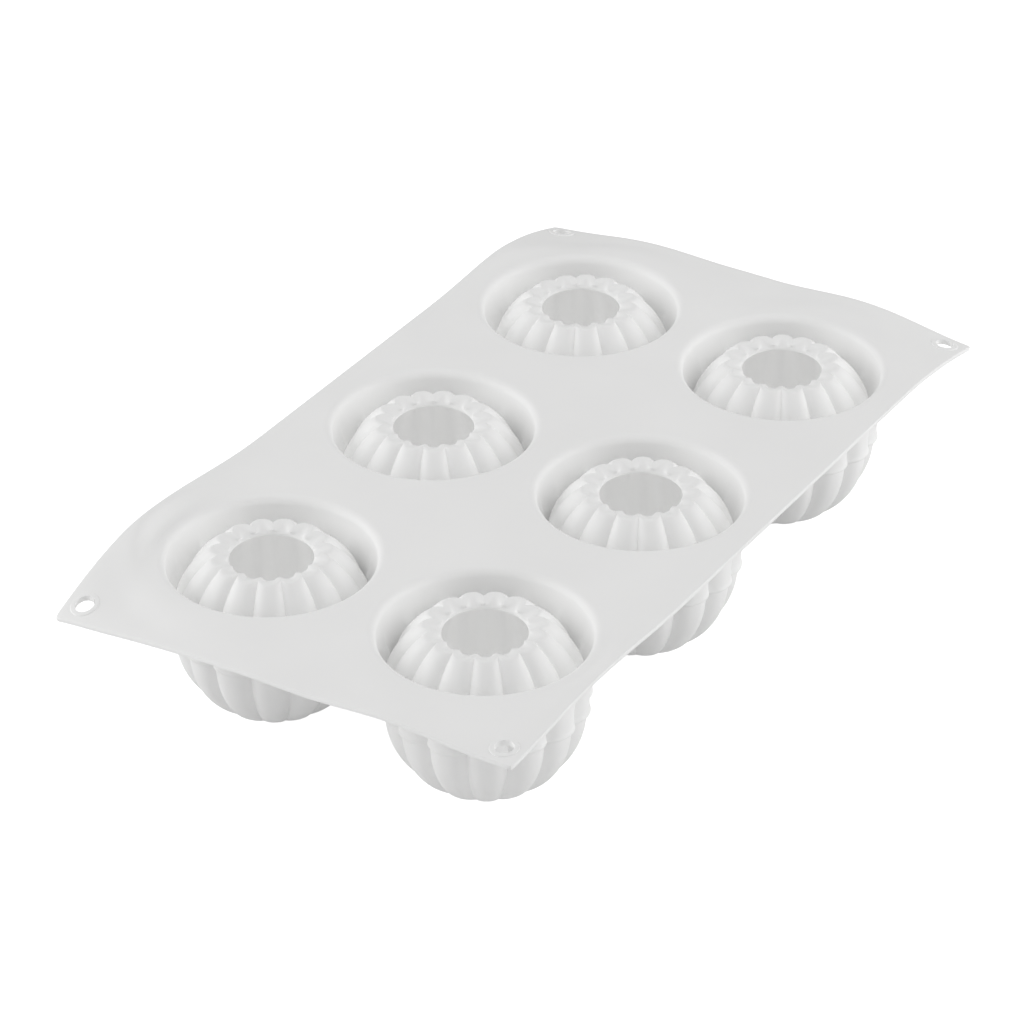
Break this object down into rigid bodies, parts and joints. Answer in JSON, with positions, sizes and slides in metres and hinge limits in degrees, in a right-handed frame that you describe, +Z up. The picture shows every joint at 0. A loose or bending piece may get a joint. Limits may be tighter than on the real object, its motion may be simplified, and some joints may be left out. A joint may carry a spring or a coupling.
{
  "type": "silicone sphere mould",
  "caption": "Flexible silicone sheet mould with fluted ball cavities, each in a round moat and open at a scalloped fill mouth; the sheet bends between rows and each ball presses up for release.",
  "frame": {"origin": "centre of the sheet in plan, on the plane that the six feet stand on", "axes": "+X across the sheet, towards the right column; +Y along the sheet, from the front row to the rear row; +Z up, out of the fill mouths"},
  "size_m": [0.172, 0.304, 0.0623],
  "materials": {
    "silicone_sheet": "satin",
    "silicone_collar": "satin",
    "silicone_ball": "satin"
  },
  "bodies": {
    "middle_sheet": {"middle_panel": "silicone_sheet", "middle_left_collar": "silicone_collar", "middle_right_collar": "silicone_collar"},
    "front_sheet": {"front_panel": "silicone_sheet", "front_left_collar": "silicone_collar", "front_right_collar": "silicone_collar"},
    "rear_sheet": {"rear_panel": "silicone_sheet", "rear_left_collar": "silicone_collar", "rear_right_collar": "silicone_collar"},
    "front_left_ball": {"front_left_crown": "silicone_ball", "front_left_bowl": "silicone_ball"},
    "front_right_ball": {"front_right_crown": "silicone_ball", "front_right_bowl": "silicone_ball"},
    "middle_left_ball": {"middle_left_crown": "silicone_ball", "middle_left_bowl": "silicone_ball"},
    "middle_right_ball": {"middle_right_crown": "silicone_ball", "middle_right_bowl": "silicone_ball"},
    "rear_left_ball": {"rear_left_crown": "silicone_ball", "rear_left_bowl": "silicone_ball"},
    "rear_right_ball": {"rear_right_crown": "silicone_ball", "rear_right_bowl": "silicone_ball"}
  },
  "joints": [
    {"name": "front_bend", "type": "hinge", "parent": "middle_sheet", "child": "front_sheet", "pos_m": [0, -0.0479, 0.05698], "axis": [-1, 0, 0], "range_deg": [-40, 90], "stiffness_Nm_per_rad": 0.02},
    {"name": "rear_bend", "type": "hinge", "parent": "middle_sheet", "child": "rear_sheet", "pos_m": [0, 0.0479, 0.05698], "axis": [1, 0, 0], "range_deg": [-40, 90], "stiffness_Nm_per_rad": 0.02},
    {"name": "front_left_push", "type": "slide", "parent": "front_sheet", "child": "front_left_ball", "axis": [0, 0, 1], "range_m": [0, 0.01], "stiffness_N_per_m": 600},
    {"name": "front_right_push", "type": "slide", "parent": "front_sheet", "child": "front_right_ball", "axis": [0, 0, 1], "range_m": [0, 0.01], "stiffness_N_per_m": 600},
    {"name": "middle_left_push", "type": "slide", "parent": "middle_sheet", "child": "middle_left_ball", "axis": [0, 0, 1], "range_m": [0, 0.01], "stiffness_N_per_m": 600},
    {"name": "middle_right_push", "type": "slide", "parent": "middle_sheet", "child": "middle_right_ball", "axis": [0, 0, 1], "range_m": [0, 0.01], "stiffness_N_per_m": 600},
    {"name": "rear_left_push", "type": "slide", "parent": "rear_sheet", "child": "rear_left_ball", "axis": [0, 0, 1], "range_m": [0, 0.01], "stiffness_N_per_m": 600},
    {"name": "rear_right_push", "type": "slide", "parent": "rear_sheet", "child": "rear_right_ball", "axis": [0, 0, 1], "range_m": [0, 0.01], "stiffness_N_per_m": 600}
  ]
}
